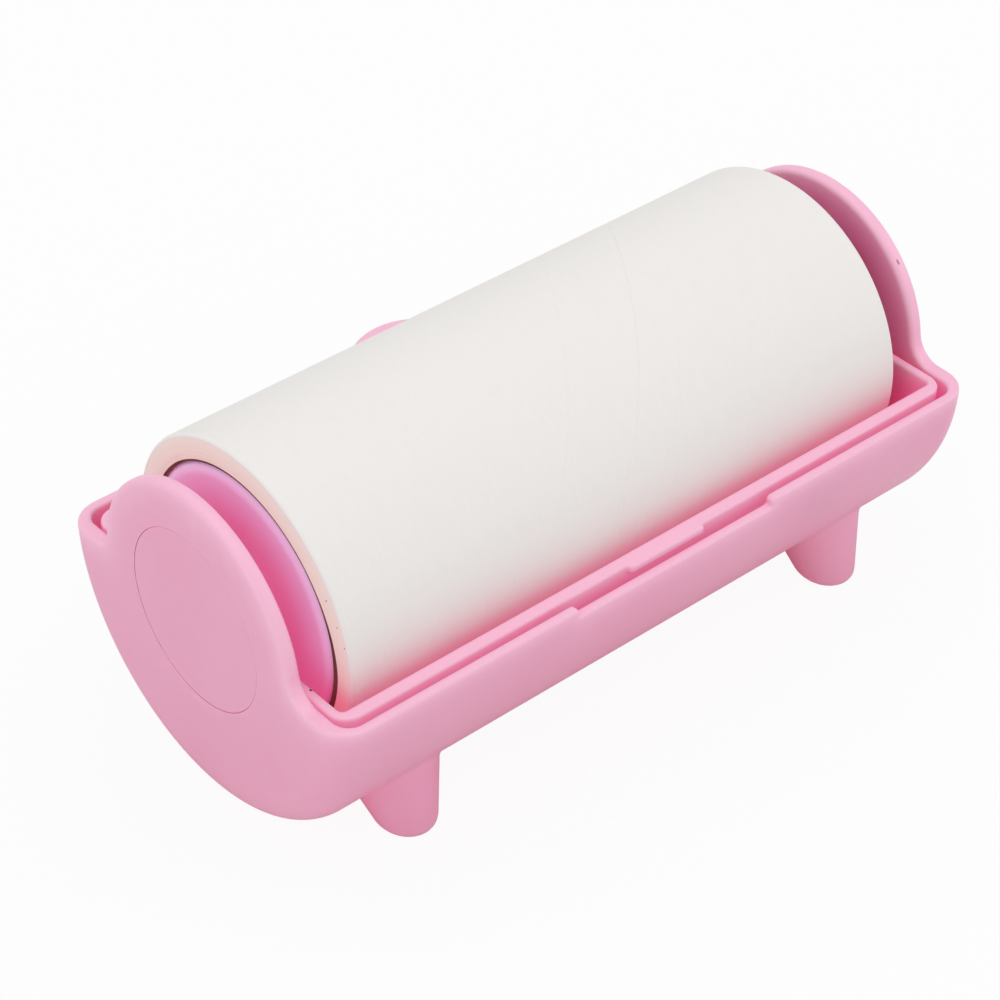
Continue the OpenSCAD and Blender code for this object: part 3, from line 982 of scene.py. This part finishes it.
def cut_paper(s):
    """The cut ends of the wound sheets: warm, with thin rings of adhesive and a few crumbs."""
    material, tree, shader, place = fresh_material("Cut Paper")
    centre = put(tree, "VectorMath", {0: place, 1: tuple(AXIS)}, operation="SUBTRACT").outputs[0]
    flat = put(tree, "VectorMath", {0: centre, 1: (0, 1, 1)}, operation="MULTIPLY").outputs[0]
    around = put(tree, "VectorMath", {0: flat}, operation="LENGTH").outputs["Value"]
    rings = put(tree, "TexNoise", {"W": around, "Scale": 3500.0, "Detail": 2.0},
                noise_dimensions="1D").outputs[0]
    fibre = placed(tree, place, paper_fibre(), {"Fibre Scale": 1500.0})
    dust = placed(tree, place, dust_specks(), {"Scale": 420.0, "Amount": 0.05})["Specks"]
    tone = layered(tree, darker(s.paper_edge, 0.955), (ranged(tree, rings, 0.3, 0.7), s.paper_edge),
                   (ranged(tree, fibre["Cloud"], 0, 1, 0, 0.25), s.paper),
                   (times(tree, dust, 0.7), darker(s.paper_edge, 0.35)))
    # Each crumb: its distance from the axis in millimetres, its turn in degrees and its size in millimetres.
    crumbs = [(about_axis(SHEET_LOW.x, radius * MM, math.radians(turn)), size * MM, 0.4)
              for radius, turn, size in ((21.1, -59.4, 0.2), (21.6, -69.3, 0.16), (22.2, -76.6, 0.2))]
    tone = marked(tree, place, tone, (0.12, 0.08, 0.07), 0.8, *crumbs)
    matt = ranged(tree, rings, 0.3, 0.7, 0.6, 0.8)
    coat(tree, shader, tone, matt, fibre["Height"], CUT_GRAIN)
    return material


def brown_board(s):
    """Brown cardboard with fibres and a lighter scuff here and there."""
    material, tree, shader, place = fresh_material("Brown Board")
    fibre = placed(tree, place, paper_fibre(), {"Fibre Scale": 1400.0})
    pale = blended(tree, fibre["Fibre"], darker(s.paper_edge, 0.93), s.paper_edge)
    tone = layered(tree, darker(s.board, 0.7), (fibre["Fibre"], darker(s.board, 1.3)),
                   (ranged(tree, fibre["Cloud"], 0.5, 1, 0, 0.5), darker(s.board, 2)),
                   (painted(tree, "ply"), pale))
    matt = ranged(tree, fibre["Cloud"], 0, 1, 0.75, 0.9)
    coat(tree, shader, tone, matt, fibre["Height"], BOARD_GRAIN)
    return material


def dress(piece, material, slot, body, *nodes):
    """Finishes a piece: its material, the body it rides on and the solids it stands for. Its slot is not
    used.
    """
    piece.data.materials.append(material)
    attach(piece, body)
    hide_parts(*nodes)


# ---------- operators

class LINTROLLER_OT_case(Operator):
    """Moulds the outer case with its ears, finger notch, pivot holes and four legs"""
    bl_idname = "lint_roller.case"
    bl_label = "Outer Case"

    def execute(self, context):
        settings = context.scene.lint_roller
        s = settings.case
        half = mirrored(grid_lines(
            0, s.half + MM, 1.3, (s.notch_width / 2 - 1.6 * MM, s.notch_width / 2 + 1.6 * MM, 0.35),
            (s.leg_x - 9 * MM, s.leg_x + 9 * MM, 0.6), (s.half - 6 * MM, s.half + MM, 0.4)))
        across = mirrored(grid_lines(0, s.radius + MM, 0.45))
        up = grid_lines(-AXIS.z - MM, s.ear + MM, 0.55, (-3.3 * MM, MM, 0.33), (MM, s.ear + MM, 0.42))
        field = case_form(s, settings.pivot.disc + s.disc_room)
        piece = moulded_piece("outer_case_moulding", field, (half, across, up), SHELL_FACES,
                              outline=lambda x, y, z: case_outline(s, x, y, z),
                              shell=(s.half - s.end_wall / 2, s.radius - s.wall / 2))
        scratch = [(about_axis(s.half - 1.35 * MM, s.ear, math.radians(turn)), 0.22 * MM, 0.5)
                   for turn in (-47.7, -48.4, -49.1)]
        smudge = [((28 * MM, -31.5 * MM, 24.5 * MM), 7 * MM, 0.0)]
        look = moulded_plastic("Outer Plastic", settings.finish, settings.finish.pink,
                               (((0.25, 0.1, 0.13), 0.75, scratch), ((0.5, 0.33, 0.4), 0.16, smudge)))
        dress(piece, look, "case_plastic", "case", "outer_case")
        return {"FINISHED"}


class LINTROLLER_OT_cover(Operator):
    """Moulds the inner cover with its ears, grip ridge and thumb tab"""
    bl_idname = "lint_roller.cover"
    bl_label = "Inner Cover"

    def execute(self, context):
        settings = context.scene.lint_roller
        s = settings.cover
        half = mirrored(grid_lines(
            0, s.half + MM, 1.3, (0, s.tab + MM, 0.4), (s.half - 4 * MM, s.half + MM, 0.36),
            (s.ridge_width / 2 - 1.4 * MM, s.ridge_width / 2 + 0.6 * MM, 0.2)))
        across = grid_lines(-s.radius - 2 * MM, s.tab_reach + MM, 0.45,
                            (-s.radius - 2 * MM, -s.radius + 3 * MM, 0.33),
                            (s.radius - 3 * MM, s.tab_reach + MM, 0.36))
        up = grid_lines(-s.radius - MM, s.ear + MM, 0.55, (-3.2 * MM, 1.6 * MM, 0.3), (MM, s.ear + MM, 0.4))
        rim_drop = settings.case.rim_drop
        field = cover_form(s, rim_drop)
        piece = moulded_piece("inner_cover_moulding", field, (half, across, up), SHELL_FACES,
                              outline=lambda x, y, z: cover_outline(s, rim_drop, y, z),
                              shell=(s.half - s.end_wall / 2, s.radius - s.wall / 2))
        speck = [((-53.64 * MM, -21.7 * MM, 30.57 * MM), 0.26 * MM, 0.6)]
        look = moulded_plastic("Cover Plastic", settings.finish, settings.finish.pink,
                               (((0.04, 0.02, 0.02), 1.0, speck),))
        dress(piece, look, "cover_plastic", "cover", "inner_cover")
        return {"FINISHED"}


class LINTROLLER_OT_pivots(Operator):
    """Turns the two keyed pivot discs with their axles"""
    bl_idname = "lint_roller.pivots"
    bl_label = "Pivot Discs"

    def execute(self, context):
        settings = context.scene.lint_roller
        look = moulded_plastic("Disc Plastic", settings.finish, settings.finish.pink)
        for side, end, tip in (("left", DISC_LOW.x, DISC_HIGH.x), ("right", -DISC_LOW.x, -DISC_HIGH.x)):
            piece = pivot_moulding(f"{side}_pivot_moulding", settings.pivot, end, tip)
            dress(piece, look, "disc_plastic", "cover", f"{side}_pivot_disc")
        return {"FINISHED"}


class LINTROLLER_OT_hubs(Operator):
    """Moulds the two ribbed hubs that carry the core on the axles"""
    bl_idname = "lint_roller.hubs"
    bl_label = "Hubs"

    def execute(self, context):
        settings = context.scene.lint_roller
        s = settings.hub
        look = moulded_plastic("Hub Plastic", settings.finish, settings.finish.hub_pink)
        outer = CORE_LOW.x - 0.3 * MM
        boss_out = outer - HUB_LOW.x
        middle = (HUB_LOW.x + FAR_HUB_HIGH.x) / 2
        cup = hub_form(s, boss_out)
        reach = mirrored(grid_lines(0, s.radius + MM, 0.4))
        inwards = grid_lines(-boss_out - 0.5 * MM, s.depth + 0.5 * MM, 0.33)
        for side, mirror_at in (("left", None), ("right", middle)):
            piece = moulded_piece(f"{side}_hub_moulding", lambda x, y, z: cup(x - outer, y, z),
                                  (inwards + outer, reach, reach), HUB_FACES, mirror_at)
            dress(piece, look, "hub_plastic", "roller", f"{side}_hub")
        return {"FINISHED"}


class LINTROLLER_OT_roll(Operator):
    """Winds the cardboard core, the paper and its top sheet"""
    bl_idname = "lint_roller.roll"
    bl_label = "Core and Paper"

    def execute(self, context):
        settings = context.scene.lint_roller
        s, finish = settings.roll, settings.finish
        low, high = SHEET_LOW.x, SHEET_HIGH.x
        board = core_board(s, CORE_LOW.x, CORE_HIGH.x)
        dress(board, brown_board(finish), "core_board", "roller", "core_tube")
        dress(wound_paper(s, low, high), cut_paper(finish), "roll_paper", "roller", "adhesive_roll")
        dress(top_sheet(s, low, high), sheet_paper(finish), "sheet_paper", "roller", "top_sheet")
        return {"FINISHED"}


class LINTROLLER_OT_stage(Operator):
    """Lays the pale floor and sets the lamps, the surround and the camera"""
    bl_idname = "lint_roller.stage"
    bl_label = "Stage"

    def execute(self, context):
        settings = context.scene.lint_roller
        view, case = settings.view, settings.case
        scene = context.scene
        corners = [(x * FLOOR_REACH, y * FLOOR_REACH, 0) for x, y in ((-1, -1), (1, -1), (1, 1), (-1, 1))]
        floor = mesh_piece("studio_floor", corners, [(0, 1, 2, 3)])
        floor.data.materials.append(floor_paint(settings.finish.floor))
        world = bpy.data.worlds.new("Studio Surround")
        scene.world = world
        tree = clean_tree(world)
        seen = put(tree, "Background", {"Color": (1, 1, 1, 1), "Strength": 1.0}).outputs[0]
        glow = put(tree, "Background", {"Color": (1, 1, 1, 1), "Strength": view.sky}).outputs[0]
        path = put(tree, "LightPath").outputs
        mix = put(tree, "MixShader", {0: path["Is Camera Ray"], 1: glow, 2: seen}).outputs[0]
        put(tree, "OutputWorld", {"Surface": mix})
        middle = Vector((0, AXIS.y, AXIS.z - case.axis_rise))
        softbox("Overhead Softbox", (0, 0, 1), middle, 0.9, view.overhead)
        softbox("Left Softbox", (-1, -0.25, 0.45), middle, 0.7, view.left)
        softbox("Right Softbox", (0.9, -0.55, 0.5), middle, 0.7, view.right)
        softbox("Rear Softbox", (0.1, 0.9, 0.7), middle, 0.7, view.behind)
        aim = Matrix.Rotation(view.azimuth, 4, "Z") @ Matrix.Rotation(math.pi / 2 - view.elevation, 4, "X")
        camera = bpy.data.objects.new("Camera", bpy.data.cameras.new("Camera"))
        camera.data.lens = view.lens
        camera.data.clip_start = 0.01
        away = Matrix.Translation((view.aside, view.above, view.distance))
        camera.matrix_world = Matrix.Translation(middle) @ aim @ away
        scene.collection.objects.link(camera)
        scene.camera = camera
        scene.view_settings.view_transform = "Standard"
        return {"FINISHED"}


def softbox(name, place, aim, size, power):
    """A square area lamp that looks at a point."""
    lamp = bpy.data.lights.new(name, "AREA")
    lamp.shape, lamp.size, lamp.energy = "SQUARE", size, power
    holder = bpy.data.objects.new(name, lamp)
    holder.location = place
    holder.rotation_euler = (aim - Vector(place)).to_track_quat("-Z", "Y").to_euler()
    bpy.context.scene.collection.objects.link(holder)


def floor_paint(tone):
    """Matt pale floor that still shows a soft shadow."""
    material = bpy.data.materials.new("Studio Floor")
    tree = clean_tree(material)
    matt = put(tree, "BsdfDiffuse", {"Color": (*tone, 1)}).outputs[0]
    glow = put(tree, "Emission", {"Color": (1, 1, 1, 1), "Strength": 1.0}).outputs[0]
    path = put(tree, "LightPath").outputs
    seen = times(tree, path["Is Camera Ray"], FLOOR_WHITE)
    mix = put(tree, "MixShader", {0: seen, 1: matt, 2: glow}).outputs[0]
    put(tree, "OutputMaterial", {"Surface": mix})
    return material


class LINTROLLER_PT_sidebar(Panel):
    """Lists the lint roller's operators and sizes in the sidebar"""
    bl_idname = "LINTROLLER_PT_sidebar"
    bl_label = "Lint Roller"
    bl_space_type = "VIEW_3D"
    bl_region_type = "UI"
    bl_category = "Lint Roller"

    def draw(self, context):
        settings = context.scene.lint_roller
        for operator in OPERATORS:
            self.layout.operator(operator.bl_idname)
        for part in ("case", "cover", "pivot", "hub", "roll", "finish", "view"):
            box = self.layout.box()
            box.label(text=part.title())
            group = getattr(settings, part)
            for name in group.__annotations__:
                box.prop(group, name)


GROUPS = (LintRollerCase, LintRollerCover, LintRollerPivot, LintRollerHub, LintRollerRoll, LintRollerFinish,
          LintRollerView, LintRollerSettings)
OPERATORS = (LINTROLLER_OT_stage, LINTROLLER_OT_case, LINTROLLER_OT_cover, LINTROLLER_OT_pivots,
             LINTROLLER_OT_hubs, LINTROLLER_OT_roll)


def register():
    for kind in GROUPS + OPERATORS + (LINTROLLER_PT_sidebar,):
        bpy.utils.register_class(kind)
    bpy.types.Scene.lint_roller = PointerProperty(type=LintRollerSettings)


def unregister():
    del bpy.types.Scene.lint_roller
    for kind in reversed(GROUPS + OPERATORS + (LINTROLLER_PT_sidebar,)):
        bpy.utils.unregister_class(kind)


def main():
    register()
    bpy.ops.lint_roller.stage()
    bpy.ops.lint_roller.case()
    bpy.ops.lint_roller.cover()
    bpy.ops.lint_roller.pivots()
    bpy.ops.lint_roller.hubs()
    bpy.ops.lint_roller.roll()


if __name__ == "__main__":
    main()
